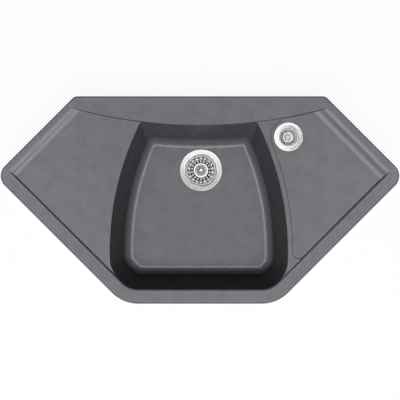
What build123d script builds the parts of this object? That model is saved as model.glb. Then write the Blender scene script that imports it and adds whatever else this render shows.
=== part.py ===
from build123d import *
import math
import os

# Inset corner sink for a worktop corner: one moulded composite body with a bowl and two drainers,
# a large and a small basket waste, the pipe that links them, and the clips that hold the rim down.
# Millimetres. X to the right, Y to the back, Z up. The origin is the centre of the rim's outline,
# in the plane of the worktop that the rim rests on.

# Outline: a straight back, two slanted edges at 45 degrees each side, and a straight front
overall_width = 980
overall_depth = 510
back_edge_length = 617
side_corner_radius = 34
front_corner_radius = 92
back_corner_radius = 16
smallest_corner_radius = 2

# Rim and tap ledge
rim_height = 8
rim_edge_round = 5
rim_width = 35
rim_inner_round = 6
ledge_depth = 71
ledge_front_radius = 1190
ledge_round = 2.5
wall_draft = 8

# Underside
seat_width = 20
cutout_gap = 2
pan_depth = 12
deck_thickness = 10
underside_rib = 5

# Left drainer: distances from the outer edge, drops from the rim top
left_slope_start = 6.5
left_slope_end = 45
left_drop = 7
left_fall = 4.5

# Right drainer, set lower than the strip along the bowl
right_slope_start = 8
right_slope_end = 57
right_drop = 10.5
right_rise = 2
strip_drop = 6
strip_width = 10.5
strip_round = 1
recess_front = 110
recess_front_radius = 15
recess_leave_angle = 115
recess_draft = 20

# Bowl
bowl_x = -3
bowl_half_width = 220.5
bowl_side_radius = 710
bowl_widest_y = -127
bowl_front_radius = 67
bowl_corner_top_radius = 4
bowl_corner_floor_radius = 28
bowl_bottom_radius = 24
bowl_edge_round = 2
bowl_depth = 195
shell_wall = 8
floor_thickness = 9

# Tap hole knock-out, marked from below
tap_hole_diameter = 35
tap_hole_from_back = 46.5
tap_hole_mark_depth = 5

# Places of the two drains
main_drain_x = 2.5
main_drain_from_back = 176
small_drain_from_bowl = 54.6
small_drain_from_back = 99.5

# Large waste: radii and widths outwards in, depths and heights from the seat of its flange
main_flange_radius = 56
main_throat_radius = 41.5
main_throat_taper = 2.5
main_shoulder_depth = 12
main_shoulder_width = 2.8
main_cup_depth = 40
main_outlet_hole_radius = 5
main_outlet_circle = 17
main_dimple_radius = 7
main_screw_radius = 3
main_screw_head_radius = 5.5
main_insert_radius = 5
main_basket_cone = 3.2
main_basket_drop = 6
main_outer_edge = 1.4
main_slot_length = 7
main_slot_width = 5.4
main_inner_edge = 1.2
main_crown_cone = 6.4
main_crown_rise = 8.5
main_dish_cone = 4.5
main_dish_rise = 5
main_plug_radius = 27
main_plug_hub_radius = 11
main_knob_radius = 6.6
main_knob_neck_radius = 3.6
main_knob_height = 15
main_stem_radius = 3
main_chamber_radius = 32
main_chamber_height = 42
main_funnel_height = 8
main_outlet_thread_radius = 23.9
main_outlet_wall = 3.9

# Small waste
small_flange_radius = 36
small_throat_radius = 26.5
small_throat_taper = 1.7
small_shoulder_depth = 9
small_shoulder_width = 2
small_cup_depth = 28
small_outlet_hole_radius = 3.4
small_outlet_circle = 11
small_dimple_radius = 6
small_screw_radius = 3
small_screw_head_radius = 5
small_insert_radius = 5
small_basket_cone = 2.2
small_basket_drop = 4
small_outer_edge = 0.8
small_slot_length = 4.2
small_slot_width = 3.5
small_inner_edge = 0.8
small_crown_cone = 3.6
small_crown_rise = 5.6
small_dish_cone = 3
small_dish_rise = 3.2
small_plug_radius = 17
small_plug_hub_radius = 8.5
small_knob_radius = 4.4
small_knob_neck_radius = 2.6
small_knob_height = 10
small_stem_radius = 2
small_chamber_radius = 22.5
small_chamber_height = 26
small_funnel_height = 6
small_outlet_thread_radius = 20.95
small_outlet_wall = 6.95

# Wastes: thicknesses that the large and the small one share
sheet = 1.2
flange_gasket_thickness = 1
waste_gasket_thickness = 3
seat_depth = 2
seat_margin = 1
plastic_wall = 3
plug_thickness = 5
plug_travel = 6
slot_count = 18
outlet_hole_count = 6
hub_depth = 18
dimple_depth = 3
thread_length = 18

# Pipe from the small waste to the large one
link_pipe_radius = 16
link_pipe_wall = 2
link_bend_radius = 50
link_insertion = 14
inlet_neck = 9
link_nut_wall = 3.5
link_nut_length = 16
link_washer_thickness = 2.5
nut_rib_count = 16

# Rim clips, their screws and inserts
clip_inset = 33
worktop_thickness = 30
clip_length = 36
clip_width = 14
clip_thickness = 3
clip_tooth = 5
clip_screw_radius = 2.5
clip_screw_head_radius = 5
clip_screw_head_height = 3.5
boss_radius = 8
boss_height = 10
insert_radius = 4.5
insert_length = 9
back_clip_x = 190
upper_clip_share = 0.5
lower_clip_shares = (0.31, 0.75)

# Fits
face_gap = 0.3
thread_gap = 0.1
running_gap = 0.08
hole_gap = 2
many = 2000

os.makedirs("parts", exist_ok=True)

rim_top = rim_height
pan_bottom = -pan_depth
bowl_floor = rim_top - bowl_depth
half_depth = overall_depth / 2
half_width = overall_width / 2 + side_corner_radius * (math.sqrt(2) - 1)
upper_sum = back_edge_length / 2 + half_depth
side_corner_y = upper_sum - half_width
lower_sum = half_width - side_corner_y
ledge_y = half_depth - ledge_depth
main_drain_y = half_depth - main_drain_from_back
small_drain_y = half_depth - small_drain_from_back
bowl_arc_x = bowl_x + bowl_half_width - bowl_side_radius
small_drain_x = bowl_arc_x + math.sqrt(
    (bowl_side_radius + small_drain_from_bowl) ** 2 - (small_drain_y - bowl_widest_y) ** 2
)
cutout_inset = seat_width
pan_inset = cutout_inset + cutout_gap
right_floor = rim_top - right_drop
left_floor = rim_top - left_drop
strip_top = rim_top - strip_drop


class Waste:
    """The sizes of one basket waste. Heights are measured from the seat that its flange lies on."""

    def __init__(self, x, y, surface, floor, **sizes):
        self.x = x
        self.y = y
        self.seat = surface - seat_depth
        self.floor = floor
        for name, size in sizes.items():
            setattr(self, name, size)
        self.cup_shoulder = self.throat - self.throat_taper
        self.cup = self.cup_shoulder - self.shoulder_width
        self.ring_outer = self.cup - self.basket_cone
        self.slot_outer = self.ring_outer - self.outer_edge
        self.slot_inner = self.slot_outer - self.slot_length
        self.ring_inner = self.slot_inner - self.inner_edge
        self.crown = self.ring_inner - self.crown_cone
        self.dish = self.crown - self.dish_cone
        self.hole = self.throat + sheet + hole_gap
        self.flange_top = flange_gasket_thickness + sheet
        self.cup_bottom = -self.cup_depth
        self.lip_bottom = -self.shoulder_depth
        self.lip = self.cup_shoulder - face_gap
        self.ring_top = self.lip_bottom + sheet - self.basket_drop
        self.dish_top = self.ring_top + self.dish_rise
        self.crown_top = self.ring_top + self.crown_rise
        self.hub_top = self.cup_bottom - dimple_depth - sheet
        self.body_top = -self.floor - waste_gasket_thickness
        self.chamber_top = self.cup_bottom - sheet - hole_gap
        self.chamber_bottom = self.hub_top - self.chamber_height
        self.outlet_bottom = self.chamber_bottom - self.funnel - thread_length
        self.outlet_bore = self.outlet_thread - self.outlet_wall


main = Waste(
    main_drain_x,
    main_drain_y,
    bowl_floor,
    floor_thickness - seat_depth,
    flange=main_flange_radius,
    throat=main_throat_radius,
    throat_taper=main_throat_taper,
    shoulder_depth=main_shoulder_depth,
    shoulder_width=main_shoulder_width,
    cup_depth=main_cup_depth,
    outlet_hole=main_outlet_hole_radius,
    outlet_circle=main_outlet_circle,
    dimple=main_dimple_radius,
    screw=main_screw_radius,
    screw_head=main_screw_head_radius,
    insert=main_insert_radius,
    basket_cone=main_basket_cone,
    basket_drop=main_basket_drop,
    outer_edge=main_outer_edge,
    slot_length=main_slot_length,
    slot_width=main_slot_width,
    inner_edge=main_inner_edge,
    crown_cone=main_crown_cone,
    crown_rise=main_crown_rise,
    dish_cone=main_dish_cone,
    dish_rise=main_dish_rise,
    plug=main_plug_radius,
    plug_hub=main_plug_hub_radius,
    knob=main_knob_radius,
    knob_neck=main_knob_neck_radius,
    knob_height=main_knob_height,
    stem=main_stem_radius,
    chamber=main_chamber_radius,
    chamber_height=main_chamber_height,
    funnel=main_funnel_height,
    outlet_thread=main_outlet_thread_radius,
    outlet_wall=main_outlet_wall,
)
small = Waste(
    small_drain_x,
    small_drain_y,
    right_floor,
    pan_depth + right_floor - seat_depth,
    flange=small_flange_radius,
    throat=small_throat_radius,
    throat_taper=small_throat_taper,
    shoulder_depth=small_shoulder_depth,
    shoulder_width=small_shoulder_width,
    cup_depth=small_cup_depth,
    outlet_hole=small_outlet_hole_radius,
    outlet_circle=small_outlet_circle,
    dimple=small_dimple_radius,
    screw=small_screw_radius,
    screw_head=small_screw_head_radius,
    insert=small_insert_radius,
    basket_cone=small_basket_cone,
    basket_drop=small_basket_drop,
    outer_edge=small_outer_edge,
    slot_length=small_slot_length,
    slot_width=small_slot_width,
    inner_edge=small_inner_edge,
    crown_cone=small_crown_cone,
    crown_rise=small_crown_rise,
    dish_cone=small_dish_cone,
    dish_rise=small_dish_rise,
    plug=small_plug_radius,
    plug_hub=small_plug_hub_radius,
    knob=small_knob_radius,
    knob_neck=small_knob_neck_radius,
    knob_height=small_knob_height,
    stem=small_stem_radius,
    chamber=small_chamber_radius,
    chamber_height=small_chamber_height,
    funnel=small_funnel_height,
    outlet_thread=small_outlet_thread_radius,
    outlet_wall=small_outlet_wall,
)


def save(name, shape):
    export_step(shape, f"parts/{name}.step")


def outline_corners(inset):
    """The right-hand corners of the outline moved inwards, before rounding: back, side, front."""
    shift = inset * math.sqrt(2)
    back_y = half_depth - inset
    back = (upper_sum - shift - back_y, back_y)
    side = ((upper_sum + lower_sum) / 2 - shift, (upper_sum - lower_sum) / 2)
    front = (lower_sum - shift - back_y, -back_y)
    return back, side, front


def mirrored(points):
    return [(-x, y) for x, y in reversed(points)]


def outline_face(inset):
    corners = list(outline_corners(inset))
    radii = [
        max(radius - inset, smallest_corner_radius)
        for radius in (back_corner_radius, side_corner_radius, front_corner_radius)
    ]
    return make_face(FilletPolyline(*corners, *mirrored(corners), radius=radii + radii[::-1], close=True))


def ledge_circle(grow):
    """The circle whose lower side is the front edge of the tap ledge."""
    return Pos(0, ledge_y + ledge_front_radius) * Circle(ledge_front_radius + grow)


def pocket_face(grow):
    """Everything inside the lower rim and in front of the ledge, run on past the upper edges."""
    _, side, front = outline_corners(rim_width - grow)
    far = (side[0] + overall_width / 4, side[1] + overall_width / 4)
    corners = [front, far]
    line = FilletPolyline(*mirrored(corners), *corners, radius=front_corner_radius - rim_width + grow)
    closing = Line(line @ 1, line @ 0)
    return make_face([*line.edges(), closing.edge()]) - ledge_circle(-grow)


def bowl_face(grow):
    """The bowl's opening at the height of the rim top."""
    face = pocket_face(grow)
    for side in (-1, 1):
        centre_x = bowl_x + side * (bowl_half_width - bowl_side_radius)
        face = face & (Pos(centre_x, bowl_widest_y) * Circle(bowl_side_radius + grow))
    across = face.vertices().sort_by(Axis.X)
    return fillet([across[0], across[-1]], bowl_front_radius + grow)


def bowl_section(height, grow, back_radius):
    """The bowl's outline at one height, with its two back corners rounded."""
    narrowing = (rim_top - height) * math.tan(math.radians(wall_draft))
    face = bowl_face(grow - narrowing)
    back_vertices = face.vertices().sort_by(Axis.Y)[-2:]
    return Pos(0, 0, height) * fillet(back_vertices, back_radius + grow)


def bowl_solid(grow, top, bottom):
    """The drafted bowl form, rounded all round the bottom; its back corners widen downwards."""
    upper = bowl_section(rim_top, grow, bowl_corner_top_radius)
    lower = bowl_section(bottom, grow, bowl_corner_floor_radius)
    solid = loft([upper, lower], ruled=True)
    solid = fillet(solid.edges().group_by(Axis.Z)[0], bowl_bottom_radius + grow)
    return split(solid, Plane.XY.offset(top), keep=Keep.BOTTOM)


def slab(height, thickness):
    """A plate wider than the sink, standing on the given height."""
    return Pos(0, 0, height) * Box(many, many, thickness, align=(Align.CENTER, Align.CENTER, Align.MIN))


def level_edges(solid, height):
    """The edges that lie wholly in one level plane."""
    return solid.edges().filter_by(lambda e: abs(e.center().Z - height) + e.bounding_box().size.Z < 0.01)


def pocket_solid():
    """The sunken area inside the rim, with its upper edge flared out to the rim's flat top."""
    face = Pos(0, 0, rim_top) * pocket_face(0)
    form = extrude(face, amount=2 * pan_depth, dir=(0, 0, -1), taper=wall_draft)
    solid = slab(rim_top, rim_height) + form
    joint = level_edges(solid, rim_top)
    rim_edges = joint.filter_by(lambda e: -half_depth < e.center().Y < ledge_y - 1)
    solid = fillet(rim_edges.filter_by(lambda e: abs(e.center().X) < half_width), rim_inner_round)
    ledge_edge = solid.edges().sort_by_distance((0, ledge_y, rim_top))[0]
    return fillet(ledge_edge, ledge_round)


def slope_profile(start, end, drop, floor_rise):
    """A section square to an upper edge: down an S-shaped slope, then along the drainer's floor."""
    middle = ((start + end) / 2, rim_top - drop / 2)
    foot = (end, rim_top - drop)
    far = (overall_width, foot[1] + floor_rise * (overall_width - end) / (overall_width / 2))
    high = rim_top + rim_height / 2
    upper = TangentArc((start, rim_top), middle, tangent=(1, 0))
    lower = TangentArc(middle, foot, tangent=upper % 1)
    rest = Polyline(foot, far, (far[0], high), (start, high), (start, rim_top))
    return make_face([upper.edge(), lower.edge(), *rest.edges()])


def drainer_solid(side, start, end, drop, floor_rise):
    """The room above one drainer: its section, drawn along that side's upper slanted edge."""
    corner_x = side * half_width
    inwards = Vector(-side, -1, 0).normalized()
    across = inwards.cross(Vector(0, 0, 1))
    plane = Plane(origin=(corner_x, side_corner_y, 0), x_dir=inwards, z_dir=across)
    section = plane * slope_profile(start, end, drop, floor_rise)
    return extrude(section, amount=overall_width, both=True)


def left_floor_plane():
    """The plane of the left drainer's floor, with its Z axis up."""
    inwards = Vector(1, -1, 0).normalized()
    across = inwards.cross(Vector(0, 0, 1))
    foot = Vector(-half_width, side_corner_y, left_floor) + inwards * left_slope_end
    along = inwards - Vector(0, 0, left_fall / (overall_width / 2))
    return Plane(origin=foot, x_dir=along, z_dir=across.cross(along))


def left_edge_form():
    """The bowl up to the left drainer's floor, its mouth widened by a rounded edge."""
    plane = left_floor_plane()
    plate = plane * Box(many, many, pan_depth, align=(Align.CENTER, Align.CENTER, Align.MIN))
    form = plate + bowl_solid(0, rim_top, bowl_floor)

    def in_plane(edge):
        ends = (edge @ 0, edge @ 0.5, edge @ 1)
        height = max(abs((end - plane.origin).dot(plane.z_dir)) for end in ends)
        return height < 0.01 and edge.length < many / 2

    form = fillet(form.edges().filter_by(in_plane), bowl_edge_round)
    return split(form, plane, keep=Keep.BOTTOM)


def recess_face(inset):
    """The right drainer's sunken area: its edge runs along the bowl and round the small drain."""
    centre = Vector(bowl_arc_x, bowl_widest_y)
    drain = Vector(small_drain_x, small_drain_y)
    radius = bowl_side_radius + strip_width + inset
    towards_drain = (drain - centre).normalized()
    drain_radius = (drain - centre).length - radius
    touch = centre + towards_drain * radius
    front_y = recess_front - half_depth + inset
    start = Vector(centre.X + math.sqrt(radius**2 - (front_y - centre.Y) ** 2), front_y)
    middle = centre + (touch - centre + start - centre).normalized() * radius
    leave_angle = math.radians(recess_leave_angle)
    leave = drain + Vector(math.cos(leave_angle), math.sin(leave_angle)) * drain_radius
    half_way = drain + (touch - drain + leave - drain).normalized() * drain_radius
    far = overall_width
    edges = [
        ThreePointArc(start, middle, touch),
        ThreePointArc(touch, half_way, leave),
        *Polyline(leave, (leave.X, far), (far, far), (far, front_y), start).edges(),
    ]
    face = make_face(edges)
    return fillet(face.vertices().sort_by_distance(start)[0], recess_front_radius - inset)


def recess_solid():
    """All room above the strip's level, and the recess below it, with a rounded edge between them."""
    narrowing = pan_depth * math.tan(math.radians(recess_draft))
    upper = Pos(0, 0, strip_top) * recess_face(0)
    lower = Pos(0, 0, strip_top - pan_depth) * recess_face(narrowing)
    solid = slab(strip_top, many / 10) + loft([upper, lower])
    joint = level_edges(solid, strip_top)
    rounded = joint.filter_by(lambda e: e.center().length < half_width and e.length < overall_width / 2)
    return fillet(rounded, strip_round)


def at_drain(waste, shape):
    return Pos(waste.x, waste.y, waste.seat) * shape


def turned(points, rounds=()):
    """A round piece from half of its section, as (radius, height); rounds pairs a corner and a radius."""
    face = make_face(Polyline(*points, close=True))
    for corner, radius in rounds:
        face = fillet(face.vertices().sort_by_distance(points[corner])[0], radius)
    return revolve(Plane.XZ * face, Axis.Z)


def ring(outer, inner, bottom, top):
    return turned([(inner, bottom), (outer, bottom), (outer, top), (inner, top)])


def disc(radius, bottom, top):
    return Pos(0, 0, bottom) * Cylinder(radius, top - bottom, align=(Align.CENTER, Align.CENTER, Align.MIN))


def around(count, radius, shape):
    return PolarLocations(radius, count) * shape


def clip_places():
    """Where each clip's screw stands, and the direction in which its arm points when it is turned out."""
    back, side, front = [Vector(*corner) for corner in outline_corners(clip_inset)]
    upper = side + (back - side) * upper_clip_share
    bowl_side = bowl_half_width + abs(bowl_x) + shell_wall
    bowl_end = side + (front - side) * ((side.X - bowl_side) / (side.X - front.X))
    places = []
    for mirror in (1, -1):
        places.append((Vector(mirror * back_clip_x, half_depth - clip_inset), 90))
        places.append((Vector(mirror * upper.X, upper.Y), 90 - mirror * 45))
        for share in lower_clip_shares:
            spot = side + (bowl_end - side) * share
            places.append((Vector(mirror * spot.X, spot.Y), -90 + mirror * 45))
    return places


def drain_opening(waste):
    """What a drain takes out of the sink: the seat for the flange and the hole below it."""
    seat = disc(waste.flange + seat_margin, 0, seat_depth + rim_height)
    return at_drain(waste, seat + disc(waste.hole, -2 * waste.floor, seat_depth))


def sink_body():
    body = extrude(outline_face(0), amount=rim_height)
    body = fillet(body.edges().group_by(Axis.Z)[-1], rim_edge_round)
    body += extrude(outline_face(pan_inset), amount=-pan_depth)
    behind_ledge = outline_face(pan_inset + underside_rib) & ledge_circle(-underside_rib)
    body -= Pos(0, 0, rim_top - deck_thickness) * extrude(behind_ledge, amount=-pan_depth)
    body += bowl_solid(shell_wall, pan_bottom / 2, bowl_floor - floor_thickness)
    boss_foot = pan_bottom - boss_height
    for place, _ in clip_places():
        body += Pos(place.X, place.Y) * disc(boss_radius, boss_foot, 0)
        body -= Pos(place.X, place.Y) * disc(insert_radius + thread_gap, boss_foot, pan_bottom)
    tap_hole = disc(tap_hole_diameter / 2, 0, tap_hole_mark_depth)
    body -= Pos(0, half_depth - tap_hole_from_back, rim_top - deck_thickness) * tap_hole
    pocket = pocket_solid()
    left_half = Pos(bowl_x) * Box(many, many, many, align=(Align.MAX, Align.CENTER, Align.CENTER))
    left = drainer_solid(-1, left_slope_start, left_slope_end, left_drop, -left_fall)
    right = drainer_solid(1, right_slope_start, right_slope_end, right_drop, right_rise)
    body -= pocket & left & left_half
    body -= (pocket & right & recess_solid()) - left_half
    body -= bowl_solid(0, rim_top, bowl_floor)
    body -= pocket & left_edge_form() & left_half
    for waste in (main, small):
        body -= drain_opening(waste)
    return body


def strainer_cup(w):
    """The steel cup: a domed flange, a tapered throat, a shoulder for the basket and a holed bottom."""
    low = flange_gasket_thickness
    shoulder = w.lip_bottom
    inside = [
        (w.flange, low),
        (w.flange, low + sheet / 3),
        (w.flange - sheet, w.flange_top),
        (w.throat + sheet, w.flange_top),
        (w.throat, w.flange_top - sheet),
        (w.cup_shoulder, shoulder),
        (w.cup, shoulder),
        (w.cup, w.cup_bottom),
        (w.dimple + dimple_depth, w.cup_bottom),
        (w.dimple, w.cup_bottom - dimple_depth),
        (w.screw + thread_gap, w.cup_bottom - dimple_depth),
    ]
    outside = [
        (w.screw + thread_gap, w.hub_top),
        (w.dimple + sheet / 2, w.hub_top),
        (w.dimple + dimple_depth + sheet / 2, w.cup_bottom - sheet),
        (w.cup + sheet, w.cup_bottom - sheet),
        (w.cup + sheet, shoulder - sheet),
        (w.cup_shoulder + sheet, shoulder - sheet),
        (w.throat + sheet, low - sheet),
        (w.throat + 2 * sheet, low),
    ]
    rounds = [(2, sheet), (3, sheet), (7, 2 * sheet), (14, 3 * sheet)]
    cup = turned(inside + outside, rounds)
    hole = disc(w.outlet_hole, w.cup_bottom - 2 * sheet, w.cup_bottom + sheet)
    return cup - around(outlet_hole_count, w.outlet_circle, hole)


def basket(w):
    """The lift-out basket: a lip, a slotted ring, and a raised crown with a dish that the knob sits in."""
    lip_top = w.lip_bottom + sheet
    half = sheet / 2
    top = [
        (w.lip, w.lip_bottom),
        (w.lip, lip_top),
        (w.cup - sheet, lip_top),
        (w.ring_outer, w.ring_top),
        (w.ring_inner, w.ring_top),
        (w.crown + half, w.crown_top),
        (w.crown - half, w.crown_top),
        (w.dish, w.dish_top),
        (w.stem + running_gap, w.dish_top),
    ]
    under = [
        (w.stem + running_gap, w.dish_top - sheet),
        (w.dish + half, w.dish_top - sheet),
        (w.crown - half, w.crown_top - 1.5 * sheet),
        (w.crown, w.crown_top - 1.5 * sheet),
        (w.ring_inner - sheet, w.ring_top - sheet),
        (w.ring_outer + half, w.ring_top - sheet),
        (w.cup - sheet, w.lip_bottom),
    ]
    pan = turned(top + under, [(2, sheet), (3, half), (4, sheet), (7, sheet)])
    slot_length = w.slot_outer - w.slot_inner
    slot = extrude(SlotOverall(slot_length, w.slot_width), amount=2 * sheet, both=True)
    return pan - around(slot_count, (w.slot_outer + w.slot_inner) / 2, Pos(0, 0, w.ring_top) * slot)


def plug(w):
    """The rubber plug: a disc that covers the cup's holes, with a hub hollowed over the screw's head."""
    low = w.cup_bottom
    high = low + plug_thickness
    recess = w.plug_hub - 2 * sheet
    points = [
        (recess, low),
        (w.plug, low),
        (w.plug, low + plug_thickness / 2),
        (w.plug - plug_thickness / 2, high),
        (w.plug_hub, high),
        (w.plug_hub, high + plug_thickness / 2),
        (w.stem + thread_gap, high + plug_thickness / 2),
        (w.stem + thread_gap, high - plug_thickness / 4),
        (recess, high - plug_thickness / 4),
    ]
    return turned(points, [(4, sheet), (5, sheet)])


def stem(w):
    """The rod under the knob, with a collar that stops it under the basket and a groove for its clip."""
    top = w.dish_top + w.knob_height / 2
    collar_top = w.dish_top - sheet - plug_travel - face_gap
    collar_bottom = w.cup_bottom + 1.5 * plug_thickness
    groove_top = w.cup_bottom + 0.75 * plug_thickness
    groove_bottom = groove_top - sheet
    bottom = groove_bottom - sheet
    groove = w.stem * 0.7
    return turned([
        (0, bottom),
        (w.stem, bottom),
        (w.stem, groove_bottom),
        (groove, groove_bottom),
        (groove, groove_top),
        (w.stem, groove_top),
        (w.stem, collar_bottom),
        (w.stem * 1.6, collar_bottom),
        (w.stem * 1.6, collar_top),
        (w.stem, collar_top),
        (w.stem, top),
        (0, top),
    ])


def plug_clip(w):
    """The open spring ring in the stem's groove that holds the plug up against the collar."""
    top = w.cup_bottom + 0.75 * plug_thickness
    inner = w.stem * 0.7 + thread_gap
    loop = ring(w.stem * 1.9, inner, top - sheet * 0.9, top)
    return loop - Pos(w.stem * 1.5, 0, top) * Box(w.stem * 3, w.stem * 1.2, 4 * sheet)


def knob(w):
    """The domed finger knob, bored from below for the stem."""
    foot = w.dish_top
    top = foot + w.knob_height
    neck_top = foot + w.knob_height * 0.4
    points = [
        (w.stem + thread_gap, foot),
        (w.knob_neck + sheet, foot),
        (w.knob_neck + sheet / 2, neck_top),
        (w.knob, neck_top + sheet),
        (w.knob, top - w.knob * 0.6),
        (w.knob * 0.55, top),
        (0, top),
        (0, foot + w.knob_height / 2),
        (w.stem + thread_gap, foot + w.knob_height / 2),
    ]
    return turned(points, [(3, sheet / 2), (4, w.knob * 0.45), (5, w.knob * 0.3)])


def flange_gasket(w):
    return ring(w.flange - 1.5 * sheet, w.hole + sheet / 2, 0, flange_gasket_thickness)


def waste_gasket(w):
    return ring(w.flange - sheet, w.hole + sheet / 2, w.body_top, -w.floor)


def waste_body(w):
    """The moulded body under the sink: a flanged bell round the cup, a chamber, a hub and an outlet."""
    bell = w.throat + 2 * sheet
    chamber_out = w.chamber + plastic_wall
    shell = turned([
        (bell, w.body_top),
        (w.flange, w.body_top),
        (w.flange, w.body_top - plastic_wall),
        (bell + plastic_wall, w.body_top - 2 * plastic_wall),
        (bell + plastic_wall, w.chamber_top),
        (chamber_out, w.chamber_top - 3 * plastic_wall),
        (chamber_out, w.chamber_bottom),
        (w.outlet_thread, w.chamber_bottom - w.funnel),
        (w.outlet_thread, w.outlet_bottom),
        (w.outlet_bore, w.outlet_bottom),
        (w.outlet_bore, w.chamber_bottom - w.funnel),
        (w.chamber, w.chamber_bottom + plastic_wall),
        (w.chamber, w.chamber_top - 2 * plastic_wall),
        (bell, w.chamber_top + plastic_wall),
    ], [(3, sheet), (4, sheet)])
    hub = disc(w.insert + plastic_wall, w.hub_top - hub_depth, w.hub_top)
    rib_length = w.chamber + plastic_wall / 2
    rib_top = w.chamber_top - 2 * plastic_wall
    rib = Box(rib_length, plastic_wall, hub_depth / 2, align=(Align.MIN, Align.CENTER, Align.MIN))
    ribs = around(3, 0, Pos(0, 0, w.hub_top - hub_depth) * rib)
    bore = disc(w.screw + thread_gap, w.hub_top - hub_depth, w.hub_top)
    pocket = disc(w.insert + thread_gap, w.hub_top - hub_depth, w.hub_top - hub_depth / 2)
    return shell + hub + ribs - bore - pocket


def centre_screw(w):
    """The countersunk screw that pulls the cup and the waste body together through the sink."""
    head_top = w.cup_bottom
    head_bottom = w.cup_bottom - dimple_depth
    tip = w.hub_top - hub_depth
    screw = turned([
        (0, tip),
        (w.screw, tip),
        (w.screw, head_bottom),
        (w.screw_head, head_bottom),
        (w.screw_head, head_top - sheet),
        (w.screw_head - sheet, head_top - sheet / 2),
        (0, head_top - sheet / 2),
    ])
    return screw - Pos(0, 0, head_top) * Box(2 * w.screw_head, sheet, 2.5 * sheet)


def insert_nut(w):
    low = w.hub_top - hub_depth
    return ring(w.insert, w.screw + thread_gap, low, w.hub_top - hub_depth / 2)


def make_waste(prefix, w):
    pieces = {
        "strainer_cup": strainer_cup(w),
        "flange_gasket": flange_gasket(w),
        "waste_gasket": waste_gasket(w),
        "centre_screw": centre_screw(w),
        "insert_nut": insert_nut(w),
        "basket": basket(w),
        "basket_plug": plug(w),
        "basket_stem": stem(w),
        "basket_knob": knob(w),
        "plug_clip": plug_clip(w),
    }
    for name, shape in pieces.items():
        save(f"{prefix}_{name}", at_drain(w, shape))


def socket_planes():
    """The mouths of the two sockets that the link pipe enters, each facing out along the pipe."""
    drop = Vector(small.x, small.y, small.seat + small.outlet_bottom)
    axis_height = main.seat + main.chamber_bottom + small.outlet_thread + seat_margin
    towards_main = Vector(main.x - small.x, main.y - small.y).normalized()
    reach = main.chamber + plastic_wall + inlet_neck + thread_length
    side = Vector(main.x, main.y, axis_height) - towards_main * reach
    return Plane(origin=drop, z_dir=(0, 0, -1)), Plane(origin=side, z_dir=-towards_main)


def socket_bore(plane):
    """The room that a socket gives the pipe: a wide mouth for its end, then a throat of the pipe's bore."""
    mouth = extrude(plane * Circle(link_pipe_radius + face_gap), amount=-link_insertion)
    reach = inlet_neck + thread_length + 2 * plastic_wall
    throat = extrude(plane * Circle(link_pipe_radius - link_pipe_wall), amount=-reach)
    return mouth + throat


def side_inlet(plane):
    """The large waste body's threaded side inlet, as far as the inner wall of its chamber."""
    tube = extrude(plane * Circle(small.outlet_thread), amount=-main.chamber)
    return tube - at_drain(main, disc(main.chamber, main.outlet_bottom, 0))


def link_pipe(drop, side):
    top = drop.origin - drop.z_dir * link_insertion
    corner = Vector(top.X, top.Y, side.origin.Z)
    tip = side.origin - side.z_dir * link_insertion
    path = FilletPolyline(top, corner, tip, radius=link_bend_radius)
    start = Plane(origin=top, z_dir=drop.z_dir)
    outer = sweep(start * Circle(link_pipe_radius), path=path)
    return outer - sweep(start * Circle(link_pipe_radius - link_pipe_wall), path=path)


def union_nut(plane):
    """The ribbed nut that screws over a socket and closes round the pipe."""
    outer = small.outlet_thread + link_nut_wall
    nut = turned([
        (small.outlet_thread + thread_gap, link_washer_thickness - link_nut_length),
        (outer, link_washer_thickness - link_nut_length),
        (outer, link_washer_thickness + link_nut_wall),
        (link_pipe_radius + face_gap, link_washer_thickness + link_nut_wall),
        (link_pipe_radius + face_gap, link_washer_thickness),
        (small.outlet_thread + thread_gap, link_washer_thickness),
    ], [(2, sheet)])
    groove = disc(link_nut_wall / 2, -link_nut_length, link_nut_length)
    return plane.location * (nut - around(nut_rib_count, outer + link_nut_wall / 4, groove))


def union_washer(plane):
    washer = ring(small.outlet_thread - thread_gap, link_pipe_radius + thread_gap, 0, link_washer_thickness)
    return plane.location * washer


def clip():
    """One rim clip: a steel arm round its screw, with a toothed tip that bears up on the worktop."""
    low = -worktop_thickness - clip_tooth - clip_thickness
    arm = Pos(clip_length / 2 - clip_width / 2) * SlotOverall(clip_length, clip_width)
    plate = Pos(0, 0, low) * extrude(arm, amount=clip_thickness)
    tip = clip_length - clip_width / 2
    tooth = Pos(tip - clip_thickness, 0, low) * Box(
        clip_thickness, clip_width / 2, clip_tooth + clip_thickness - face_gap,
        align=(Align.MAX, Align.CENTER, Align.MIN),
    )
    collar = disc(clip_width / 2 - seat_margin, low, low + clip_thickness + clip_tooth / 2)
    hole = disc(clip_screw_radius + running_gap, low, 0)
    return plate + tooth + collar - hole


def clip_screw():
    low = -worktop_thickness - clip_tooth - clip_thickness
    shank = disc(clip_screw_radius, low, pan_bottom - running_gap)
    head = Pos(0, 0, low - clip_screw_head_height) * extrude(
        RegularPolygon(clip_screw_head_radius, 6), amount=clip_screw_head_height
    )
    return shank + head


def clip_insert():
    low = pan_bottom - boss_height
    return ring(insert_radius, clip_screw_radius + thread_gap, low, low + insert_length)


def make_clips():
    places = clip_places()
    for number, (place, out_angle) in enumerate(places, start=1):
        save(f"clip_{number}", Pos(place.X, place.Y) * Rot(0, 0, out_angle - 90) * clip())
    save("clip_screws", Compound([Pos(place.X, place.Y) * clip_screw() for place, _ in places]))
    save("clip_inserts", Compound([Pos(place.X, place.Y) * clip_insert() for place, _ in places]))


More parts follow.
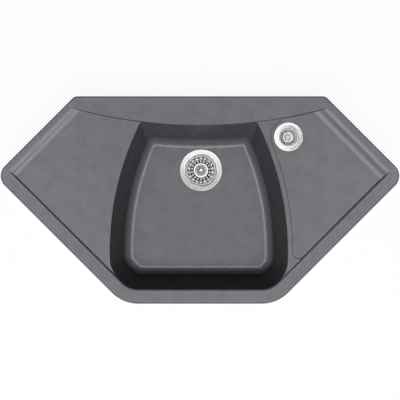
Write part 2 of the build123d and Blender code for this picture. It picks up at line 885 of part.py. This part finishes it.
save("sink_body", sink_body())
make_waste("main", main)
make_waste("small", small)
drop_socket, side_socket = socket_planes()
main_body = at_drain(main, waste_body(main)) + side_inlet(side_socket)
save("main_waste_body", main_body - socket_bore(side_socket))
save("small_waste_body", at_drain(small, waste_body(small)) - socket_bore(drop_socket))
save("link_pipe", link_pipe(drop_socket, side_socket))
for place, socket in (("small_outlet", drop_socket), ("side_inlet", side_socket)):
    save(f"{place}_nut", union_nut(socket))
    save(f"{place}_washer", union_washer(socket))
make_clips()
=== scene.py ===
import math

import bpy
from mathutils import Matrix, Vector


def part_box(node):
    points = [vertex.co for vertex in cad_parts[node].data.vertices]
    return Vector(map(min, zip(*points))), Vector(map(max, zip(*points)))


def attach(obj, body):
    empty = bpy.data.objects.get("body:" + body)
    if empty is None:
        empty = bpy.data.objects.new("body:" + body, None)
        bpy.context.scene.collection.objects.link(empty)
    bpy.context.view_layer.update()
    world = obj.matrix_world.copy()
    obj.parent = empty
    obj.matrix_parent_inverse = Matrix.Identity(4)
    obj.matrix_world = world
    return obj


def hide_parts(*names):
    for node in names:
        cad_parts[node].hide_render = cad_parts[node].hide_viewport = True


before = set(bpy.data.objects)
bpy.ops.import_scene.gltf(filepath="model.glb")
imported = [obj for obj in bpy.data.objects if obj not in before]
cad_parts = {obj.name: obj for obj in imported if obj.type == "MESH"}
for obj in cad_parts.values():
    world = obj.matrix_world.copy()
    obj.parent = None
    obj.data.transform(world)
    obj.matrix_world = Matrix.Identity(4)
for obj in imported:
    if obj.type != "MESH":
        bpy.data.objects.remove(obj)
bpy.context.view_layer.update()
sizes = ("main", "small")
print("frame loaded:", len(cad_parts), "nodes")


class Value:
    # one output socket of a node; its operators add Math nodes

    def __init__(self, finish, socket):
        self.finish = finish
        self.socket = socket

    def sibling(self, name):
        # another output of the same node
        return Value(self.finish, self.socket.node.outputs[name])

    def sway(self, amount):
        # a noise of 0 to 1 as a sway about 0
        return (self - 0.5) * amount

    def math(self, operation, first, second):
        return self.finish.add("ShaderNodeMath", dict(operation=operation), {0: first, 1: second})

    def __add__(self, other):
        return self.math("ADD", self, other)

    def __sub__(self, other):
        return self.math("SUBTRACT", self, other)

    def __rsub__(self, other):
        return self.math("SUBTRACT", other, self)

    def __mul__(self, other):
        return self.math("MULTIPLY", self, other)

    def __pow__(self, other):
        return self.math("POWER", self, other)

    def __gt__(self, other):
        return self.math("GREATER_THAN", self, other)

    def __lt__(self, other):
        return self.math("LESS_THAN", self, other)

    __radd__ = __add__
    __rmul__ = __mul__


class Finish:
    # one material, or the world, made node by node

    def __init__(self, name, owner=None):
        self.material = owner or bpy.data.materials.new(name)
        self.material.use_nodes = True
        self.tree = self.material.node_tree
        self.tree.nodes.clear()
        self.place = self.add("ShaderNodeTexCoord", {}, {}, output="Object")

    def add(self, kind, settings, links, output=0):
        node = self.tree.nodes.new(kind)
        for name, setting in settings.items():
            if name == "stops":
                self.setStops(node.color_ramp, setting)
            else:
                setattr(node, name, setting)
        for name, link in links.items():
            if isinstance(link, Value):
                self.tree.links.new(link.socket, node.inputs[name])
            else:
                node.inputs[name].default_value = link
        if node.outputs:
            return Value(self, node.outputs[output])

    def setStops(self, ramp, stops):
        while len(ramp.elements) < len(stops):
            ramp.elements.new(0.5)  # any place, because the next lines set it
        for element, (position, grey) in zip(ramp.elements, stops):
            element.position = position
            element.color = colour(grey, grey, grey)

    def noise(self, scale, detail=2, place=None, roughness=0.5):
        pattern = {"Scale": scale, "Detail": detail, "Roughness": roughness}
        return self.add("ShaderNodeTexNoise", {}, {"Vector": place or self.place, **pattern})

    def ramp(self, value, stops):
        return self.add("ShaderNodeValToRGB", dict(stops=stops), {"Fac": value})

    def between(self, value, start, end):
        # 0 at the start, 1 at the end
        return self.add("ShaderNodeMapRange", {}, {0: value, 1: start, 2: end})

    def mixColours(self, factor, first, second):
        mixed = {0: factor, 6: first, 7: second}  # a Mix node's colour sockets
        return self.add("ShaderNodeMix", dict(data_type="RGBA"), mixed, output=2)

    def bump(self, height, strength, distance):
        relief = {"Height": height, "Strength": strength, "Distance": distance}
        return self.add("ShaderNodeBump", {}, relief)

    def surface(self, links):
        shader = self.add("ShaderNodeBsdfPrincipled", {}, links)
        self.add("ShaderNodeOutputMaterial", {}, {"Surface": shader})
        return self.material


def colour(red, green, blue):
    return (red, green, blue, 1)


def cover(material, *nodeNames):
    for nodeName in nodeNames:
        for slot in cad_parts[nodeName].material_slots:
            slot.material = material


def both(*names):
    # the nodes of the large and of the small drain
    return [f"{size}_{name}" for size in sizes for name in names]


def drainAxis(nodeName):
    # the top of a round node, on its axis
    low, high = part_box(nodeName)
    return Vector(((low.x + high.x) / 2, (low.y + high.y) / 2, high.z))


# the moulded stone composite: fine grain, soft clouds, pale and dark flecks
stone = {
    "colour": colour(0.145, 0.150, 0.160),
    "dark": colour(0.070, 0.073, 0.080),
    "pale": colour(0.36, 0.365, 0.38),
    "evenness": 0.55,
    "grainScale": 1100,
    "grainStops": ((0.3, 0), (0.72, 1)),
    "grainShare": 0.62,
    "cloudScale": 26,
    "cloudShare": 0.3,
    "fleckScale": 520,
    "fleckEdge": (0.18, 0.42),
    "paleAbove": 0.86,
    "darkBelow": 0.16,
    "fleckShare": 0.8,
    "fleckHeight": 0.3,
    "roughness": 0.28,
    "grainRoughness": 0.22,
    "cloudRoughness": 0.08,
    "fleckPolish": 0.1,
    "metallic": 0.38,
    "glossTint": colour(0.3, 0.3, 0.3),
    "bump": 0.14,
    "bumpDepth": 0.0002,
}


def makeStone(values):
    finish = Finish("stoneComposite")
    cloud = finish.noise(values["cloudScale"], detail=3)
    grain = finish.noise(values["grainScale"], detail=3, roughness=0.7)
    cells = {"Vector": finish.place, "Scale": values["fleckScale"]}
    distance = finish.add("ShaderNodeTexVoronoi", {}, cells)
    cellColour = finish.add("ShaderNodeTexVoronoi", {}, cells, output="Color")
    lot = finish.add("ShaderNodeSeparateColor", {}, {0: cellColour})
    near = 1 - finish.between(distance, *values["fleckEdge"])
    paleFleck = near * (lot > values["paleAbove"])
    darkFleck = near * (lot < values["darkBelow"])
    grainTone = finish.ramp(grain, values["grainStops"])
    tone = grainTone * values["grainShare"] + cloud * values["cloudShare"]
    body = finish.mixColours(tone, values["dark"], values["colour"])
    body = finish.mixColours(values["evenness"], body, values["colour"])
    body = finish.mixColours(darkFleck * values["fleckShare"], body, values["dark"])
    body = finish.mixColours(paleFleck * values["fleckShare"], body, values["pale"])
    rough = values["roughness"] + grain.sway(values["grainRoughness"])
    rough = rough + cloud.sway(values["cloudRoughness"]) - paleFleck * values["fleckPolish"]
    height = grain + paleFleck * values["fleckHeight"]
    return finish.surface({
        "Base Color": body,
        "Roughness": rough,
        "Metallic": values["metallic"],
        "Specular IOR Level": 0.0,  # the walls would whiten at low angles
        "Specular Tint": values["glossTint"],
        "Normal": finish.bump(height, values["bump"], values["bumpDepth"]),
    })


cover(makeStone(stone), "sink_body")
print("stone composite done")

# turned steel, with painted shade and more roughness low down: first what the cups' flanges and
# the knobs share
turning = {
    "worn": colour(0.62, 0.62, 0.61),
    "lineShare": 0.3,
    "softScale": 38,
    "softShare": 0.15,
    "paintedShadeStart": 0.006,
    "paintedShadeShare": 0.85,
    "lineRoughness": 0.2,
    "softRoughness": 0.12,
    "insideRoughness": 0.15,
    "bumpDepth": 0.0001,
}
brushedRing = {
    "colour": colour(0.80, 0.80, 0.79),
    # painted shade: the colour that the cup darkens to down in its hollow
    "paintedShade": colour(0.30, 0.30, 0.30),
    "paintedShadeEnd": 0.014,
    "roughness": 0.14,
    "lineScale": 2600,
    "bump": 0.05,
    "dish": 0.07,
}
chrome = {
    "colour": colour(0.86, 0.86, 0.86),
    # painted shade: the colour that the knob darkens to lower down
    "paintedShade": colour(0.5, 0.5, 0.5),
    "paintedShadeEnd": 0.02,
    "roughness": 0.1,
    "lineScale": 900,
    "bump": 0.01,
    "dish": 0.03,
}


def makeTurnedSteel(name, values, centre):
    # brushed in circles round the drain's own axis, and bent to a shallow dish
    finish = Finish(name)
    shift = {"Vector": finish.place, "Location": tuple(-part for part in centre)}
    moved = finish.add("ShaderNodeMapping", {}, shift)
    along = finish.add("ShaderNodeSeparateXYZ", {}, {0: moved})
    across = along.sibling("Y")
    height = along.sibling("Z")
    radius = (along * along + across * across) ** 0.5
    line = finish.add("ShaderNodeCombineXYZ", {}, {0: radius, 1: height})
    lines = finish.noise(values["lineScale"], detail=3, place=line, roughness=0.75)
    soft = finish.noise(turning["softScale"], detail=3)
    wear = lines * turning["lineShare"] + soft * turning["softShare"]
    shade = finish.mixColours(wear, values["colour"], turning["worn"])
    # painted shade: the colour darkens below the top, towards the hollow, and the roughness rises
    # there too
    inside = finish.between(height, -turning["paintedShadeStart"], -values["paintedShadeEnd"])
    shade = finish.mixColours(inside * turning["paintedShadeShare"], shade, values["paintedShade"])
    rough = values["roughness"] + lines.sway(turning["lineRoughness"])
    rough = rough + soft.sway(turning["softRoughness"]) + inside * turning["insideRoughness"]
    slope = radius * (values["dish"] / turning["bumpDepth"])
    relief = lines * values["bump"] + slope
    return finish.surface({
        "Base Color": shade,
        "Metallic": 1.0,
        "Roughness": rough,
        "Normal": finish.bump(relief, 1.0, turning["bumpDepth"]),
    })


for size in sizes:
    cup = f"{size}_strainer_cup"
    cover(makeTurnedSteel(f"{size}CupSteel", brushedRing, drainAxis(cup)), cup)

# the baskets' pressed steel
polished = {
    "colour": colour(0.56, 0.56, 0.55),
    "worn": colour(0.46, 0.46, 0.45),
    "softScale": 60,
    "softShare": 0.3,
    "fineScale": 900,
    "roughness": 0.2,
    "softRoughness": 0.1,
    "fineRoughness": 0.04,
    "bump": 0.02,
    "bumpDepth": 0.0001,
}


def makePolished(name, values):
    finish = Finish(name)
    soft = finish.noise(values["softScale"], detail=3)
    fine = finish.noise(values["fineScale"])
    shade = finish.mixColours(soft * values["softShare"], values["colour"], values["worn"])
    rough = values["roughness"] + soft.sway(values["softRoughness"])
    rough = rough + fine.sway(values["fineRoughness"])
    return finish.surface({
        "Base Color": shade,
        "Metallic": 1.0,
        "Roughness": rough,
        "Normal": finish.bump(fine, values["bump"], values["bumpDepth"]),
    })


basketSteel = makePolished("basketSteel", polished)
cover(basketSteel, *both("basket"))
for size in sizes:
    knob = f"{size}_basket_knob"
    cover(makeTurnedSteel(f"{size}KnobChrome", chrome, drainAxis(knob)), knob)

# screws, stems, clips and inserts: first the spangled coat that they share
coat = {
    "second": colour(0.45, 0.47, 0.50),
    "haze": colour(0.62, 0.60, 0.52),
    "spangleScale": 240,
    "spangleRoughness": 0.22,
    "hazeScale": 35,
    "hazeShare": 0.35,
    "bumpDepth": 0.0001,
}
zinc = {"colour": colour(0.58, 0.60, 0.62), "roughness": 0.36, "bump": 0.12}
clipZinc = {"colour": colour(0.60, 0.61, 0.63), "roughness": 0.42, "bump": 0.16}
brass = {"colour": colour(0.62, 0.44, 0.16), "roughness": 0.3, "bump": 0.1}
clipCount = 8


def makePlated(name, values):
    finish = Finish(name)
    spangle = finish.noise(coat["spangleScale"], detail=4, roughness=0.65)
    haze = finish.noise(coat["hazeScale"])
    shade = finish.mixColours(spangle, values["colour"], coat["second"])
    shade = finish.mixColours(haze * coat["hazeShare"], shade, coat["haze"])
    return finish.surface({
        "Base Color": shade,
        "Metallic": 1.0,
        "Roughness": values["roughness"] + spangle.sway(coat["spangleRoughness"]),
        "Normal": finish.bump(spangle, values["bump"], coat["bumpDepth"]),
    })


screwNodes = both("centre_screw", "plug_clip", "basket_stem") + ["clip_screws"]
clipNodes = [f"clip_{number + 1}" for number in range(clipCount)]
insertNodes = both("insert_nut") + ["clip_inserts"]
cover(makePlated("screwZinc", zinc), *screwNodes)
cover(makePlated("clipZinc", clipZinc), *clipNodes)
cover(makePlated("insertBrass", brass), *insertNodes)
print("steels done")

# rubber and plastic: first the moulded skin that they share
skin = {
    "mottleScale": 70,
    "mottleShare": 0.6,
    "grainShare": 0.25,
    "grainRoughness": 0.2,
    "mottleRoughness": 0.12,
    "bumpDepth": 0.0002,
}
gasketRubber = {
    "colour": colour(0.030, 0.030, 0.032),
    "second": colour(0.055, 0.055, 0.058),
    "grainScale": 700,
    "roughness": 0.68,
    "bump": 0.2,
}
plugRubber = {
    "colour": colour(0.022, 0.022, 0.023),
    "second": colour(0.045, 0.045, 0.046),
    "grainScale": 520,
    "roughness": 0.6,
    "bump": 0.15,
}
wastePlastic = {
    "colour": colour(0.060, 0.060, 0.064),
    "second": colour(0.082, 0.082, 0.088),
    "grainScale": 620,
    "roughness": 0.45,
    "bump": 0.2,
}
pipePlastic = {
    "colour": colour(0.72, 0.72, 0.70),
    "second": colour(0.64, 0.64, 0.61),
    "grainScale": 380,
    "roughness": 0.36,
    "bump": 0.06,
}
nutPlastic = {
    "colour": colour(0.050, 0.050, 0.054),
    "second": colour(0.075, 0.075, 0.080),
    "grainScale": 560,
    "roughness": 0.5,
    "bump": 0.22,
}


def makeMoulded(name, values):
    finish = Finish(name)
    mottle = finish.noise(skin["mottleScale"], detail=3)
    grain = finish.noise(values["grainScale"], detail=3, roughness=0.65)
    tone = mottle * skin["mottleShare"] + grain * skin["grainShare"]
    rough = values["roughness"] + grain.sway(skin["grainRoughness"])
    rough = rough + mottle.sway(skin["mottleRoughness"])
    return finish.surface({
        "Base Color": finish.mixColours(tone, values["colour"], values["second"]),
        "Roughness": rough,
        "Normal": finish.bump(grain, values["bump"], skin["bumpDepth"]),
    })


gasketNodes = both("flange_gasket", "waste_gasket") + ["small_outlet_washer", "side_inlet_washer"]
cover(makeMoulded("gasketRubber", gasketRubber), *gasketNodes)
cover(makeMoulded("plugRubber", plugRubber), *both("basket_plug"))
cover(makeMoulded("wastePlastic", wastePlastic), *both("waste_body"))
cover(makeMoulded("pipePlastic", pipePlastic), "link_pipe")
cover(makeMoulded("nutPlastic", nutPlastic), "small_outlet_nut", "side_inlet_nut")
print("rubber and plastic done")


def metres(millimetres):
    return millimetres / 1000


def clearSelection():
    bpy.ops.object.select_all(action="DESELECT")


def pick(piece, elements, test):
    # in object mode: select what the test accepts and nothing else
    mesh = piece.data
    for group in (mesh.vertices, mesh.edges, mesh.polygons):
        group.foreach_set("select", [False] * len(group))
    for element in getattr(mesh, elements):
        element.select = test(element)


def editSelected(mode, action):
    bpy.ops.object.mode_set(mode="EDIT")
    bpy.ops.mesh.select_mode(type=mode)
    action()
    bpy.ops.object.mode_set(mode="OBJECT")


def growRings(name, centre, profile, segments):
    # a round sheet, extruded inwards ring by ring from its outer edge
    radius, height = profile[0]
    start = centre + Vector((0, 0, height))
    clearSelection()
    bpy.ops.mesh.primitive_circle_add(vertices=segments, radius=radius, location=start)
    piece = bpy.context.object
    piece.name = name
    bpy.ops.object.mode_set(mode="EDIT")
    bpy.ops.mesh.select_mode(type="VERT")  # face mode, left by the last piece, drops a bare circle
    bpy.ops.mesh.select_all(action="SELECT")
    for nextRadius, nextHeight in profile[1:]:
        scale = nextRadius / radius
        bpy.ops.mesh.extrude_region_move()
        bpy.ops.transform.resize(value=(scale, scale, 1), center_override=centre)
        bpy.ops.transform.translate(value=(0, 0, nextHeight - height))
        radius, height = nextRadius, nextHeight
    bpy.ops.object.mode_set(mode="OBJECT")
    bpy.ops.object.transform_apply(location=True, rotation=True, scale=True)
    return piece


def addModifier(piece, kind, **settings):
    modifier = piece.modifiers.new(kind.lower(), kind)
    for setting, value in settings.items():
        setattr(modifier, setting, value)
    bpy.ops.object.modifier_apply(modifier=modifier.name)


def wrapAngle(angle, step):
    # how far an angle lies from the nearest multiple of a step
    return abs((angle + step / 2) % step - step / 2)


# the two pressed strainer baskets: radius and height from the top, in millimetres
mainBasket = {
    "profile": (
        (38.6, -3.3), (38.4, -2.6), (37.8, -2.5), (36.6, -2.9), (35.5, -3.8), (34.8, -4.9),
        (34.1, -6.6), (33.4, -8.1), (32.7, -8.8), (31.7, -8.9), (30.3, -8.5), (28.9, -8.2),
        (27.3, -8.4), (25.9, -8.9), (24.5, -9.2), (23.6, -8.9), (22.9, -7.5), (21.6, -4.2),
        (20.6, -1.6), (19.4, -0.4), (17.6, 0), (16.4, -0.2), (15.5, -0.6), (14.8, -0.9),
        (12.5, -1.7), (10.0, -2.5), (7.6, -3.3), (6.6, -3.5), (3.4, -3.5),
    ),
    "slots": (24.5, 31.7),
    "press": 1.1,
}
smallBasket = {
    "profile": (
        (24.4, -3.3), (24.2, -2.8), (23.7, -2.8), (22.9, -3.0), (22.3, -3.5), (21.9, -4.2),
        (21.5, -5.0), (21.0, -5.6), (20.5, -5.9), (19.8, -6.0), (19.0, -5.8), (18.1, -5.6),
        (17.3, -5.7), (16.5, -6.0), (15.6, -6.2), (15.0, -6.0), (14.5, -5.0), (13.7, -2.9),
        (13.1, -1.2), (12.4, -0.3), (11.4, 0), (10.7, -0.1), (10.2, -0.3), (9.7, -0.5),
        (8.0, -1.1), (6.5, -1.6), (5.0, -2.2), (4.4, -2.4), (2.3, -2.4),
    ),
    "slots": (15.6, 19.8),
    "press": 0.8,
}
# widths are half widths, as shares of the step from slot to slot
pressing = {
    "slotCount": 18,
    "perSlot": 12,
    "slotWidth": 0.33,
    "slotEndWidth": 0.22,
    "slotEnd": 0.75,
    "webWidth": 0.2,
    "webSteps": (0.4, 0.75),
    "sheet": 1.1,
}


def makeBasket(size, values):
    axis = drainAxis(f"{size}_basket")
    profile = [(metres(radius), metres(height)) for radius, height in values["profile"]]
    segments = pressing["slotCount"] * pressing["perSlot"]
    basket = growRings(f"{size}StrainerBasket", axis, profile, segments)
    step = 2 * math.pi / pressing["slotCount"]
    inner, outer = (metres(radius) for radius in values["slots"])
    middle = (inner + outer) / 2
    reach = (outer - inner) / 2
    rise = metres(values["press"]) / len(pressing["webSteps"])

    def polar(place):
        away = Vector((place.x - axis.x, place.y - axis.y))
        return away.length, math.atan2(away.y, away.x)

    def inSlot(face):
        radius, angle = polar(face.center)
        along = abs(radius - middle) / reach
        atEnd = along >= pressing["slotEnd"]
        width = step * pressing["slotEndWidth" if atEnd else "slotWidth"]
        return along < 1 and wrapAngle(angle, step) < width

    def onWeb(share):
        def test(vertex):
            radius, angle = polar(vertex.co)
            fromWeb = wrapAngle(angle + step / 2, step)
            width = step * pressing["webWidth"] * share
            return abs(radius - middle) < reach * share and fromWeb < width
        return test

    pick(basket, "polygons", inSlot)
    editSelected("FACE", lambda: bpy.ops.mesh.delete(type="FACE"))
    for share in pressing["webSteps"]:
        pick(basket, "vertices", onWeb(share))
        editSelected("VERT", lambda: bpy.ops.transform.translate(value=(0, 0, rise)))
    pick(basket, "polygons", lambda face: True)
    editSelected("FACE", lambda: bpy.ops.mesh.normals_make_consistent(inside=False))
    if sum(face.normal.z for face in basket.data.polygons) < 0:
        editSelected("FACE", bpy.ops.mesh.flip_normals)
    addModifier(basket, "SOLIDIFY", thickness=metres(pressing["sheet"]), offset=-1)
    addModifier(basket, "SUBSURF", levels=1, render_levels=1)
    bpy.ops.object.shade_smooth()
    basket.data.materials.append(basketSteel)
    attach(basket, f"{size}_basket")
    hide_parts(f"{size}_basket")


makeBasket("main", mainBasket)
makeBasket("small", smallBasket)
print("baskets done")

# floor, lamps, room and camera; tilts and turns in degrees, lengths in metres
studio = {
    "floorHeight": -0.3015,
    "floorSize": 14,
    "floorColour": colour(0.86, 0.86, 0.86),
    "shadowShare": 0.05,
    "keyTilt": 15,
    "keyPower": 108,
    "lowTilt": 45,
    "lowPower": 12,
    "lampTurn": -4,
    "lampDistance": 3.2,
    "lampSize": 0.6,
    "ambient": colour(0.06, 0.06, 0.06),
    "ceiling": ((0.0, 0.15), (0.3, 0.45), (0.43, 0.95), (0.5, 0.66), (0.56, 0.36), (0.8, 0.2)),
    "ceilingLevel": 1.35,
    "overhead": ((0.0, 0.15), (0.93, 0.2), (0.972, 1.0)),
    "ring": ((0.0, 0.02), (0.86, 0.04), (0.9, 0.8), (0.93, 1.0), (0.955, 1.0), (0.97, 0.0)),
    "ringLevel": 5.5,
    "cameraHeight": 2.488,
    "lens": 90.93,
    "sensorWidth": 36,
    "viewDistance": 100,
}
white = colour(1, 1, 1)


def makeFloor(values):
    clearSelection()
    place = (0, 0, values["floorHeight"])
    bpy.ops.mesh.primitive_plane_add(size=values["floorSize"], location=place)
    floor = bpy.context.object
    floor.name = "floor"
    finish = Finish("paleFloor")
    seen = finish.add("ShaderNodeLightPath", {}, {}, output="Is Camera Ray")
    diffuse = finish.add("ShaderNodeBsdfDiffuse", {}, {"Color": values["floorColour"]})
    glow = finish.add("ShaderNodeEmission", {}, {"Color": white, "Strength": 1.0})
    share = seen * (1 - values["shadowShare"])
    shown = finish.add("ShaderNodeMixShader", {}, {0: share, 1: diffuse, 2: glow})
    finish.add("ShaderNodeOutputMaterial", {}, {"Surface": shown})
    floor.data.materials.append(finish.material)


def addLamp(tiltDegrees, power, values):
    # a square lamp that faces the middle of the sink
    tilt = math.radians(tiltDegrees)
    turn = math.radians(values["lampTurn"])
    level = math.sin(tilt)
    away = Vector((math.sin(turn) * level, -math.cos(turn) * level, math.cos(tilt)))
    bpy.ops.object.light_add(type="AREA", location=away * values["lampDistance"])
    lamp = bpy.context.object
    lamp.rotation_mode = "QUATERNION"
    lamp.rotation_quaternion = away.to_track_quat("Z", "Y")
    lamp.data.size = values["lampSize"]
    lamp.data.energy = power
    lamp.visible_camera = False
    lamp.visible_glossy = False


def makeRoom(values):
    # gloss sees a grey room, bright overhead, with a ring of soft boxes in its ceiling
    world = bpy.data.worlds.new("softRoom")
    bpy.context.scene.world = world
    room = Finish("softRoom", world)
    glossy = room.add("ShaderNodeLightPath", {}, {}, output="Is Glossy Ray")
    seen = room.add("ShaderNodeLightPath", {}, {}, output="Is Camera Ray")
    direction = room.add("ShaderNodeTexCoord", {}, {}, output="Generated")
    facing = room.add("ShaderNodeSeparateXYZ", {}, {0: direction})
    fromFront = facing.sibling("Y") * 0.5 + 0.5  # 0 at the front, 1 at the back
    up = facing.sibling("Z")
    ceiling = room.ramp(fromFront, values["ceiling"]) * room.ramp(up, values["overhead"])
    ring = room.ramp(up, values["ring"]) * values["ringLevel"]
    reflected = ceiling * values["ceilingLevel"] + ring
    level = room.mixColours(glossy, values["ambient"], reflected)
    level = room.mixColours(seen, level, white)
    background = room.add("ShaderNodeBackground", {}, {"Color": level})
    room.add("ShaderNodeOutputWorld", {}, {"Surface": background})


def makeCamera(values):
    place = (0, 0, values["cameraHeight"])
    bpy.ops.object.camera_add(location=place, rotation=(0, 0, 0))
    camera = bpy.context.object
    camera.data.sensor_width = values["sensorWidth"]
    camera.data.lens = values["lens"]
    camera.data.clip_end = values["viewDistance"]
    bpy.context.scene.camera = camera


makeFloor(studio)
addLamp(studio["keyTilt"], studio["keyPower"], studio)
addLamp(studio["lowTilt"], studio["lowPower"], studio)
makeRoom(studio)
makeCamera(studio)
bpy.context.scene.view_settings.view_transform = "Standard"
print("floor, light and camera done")
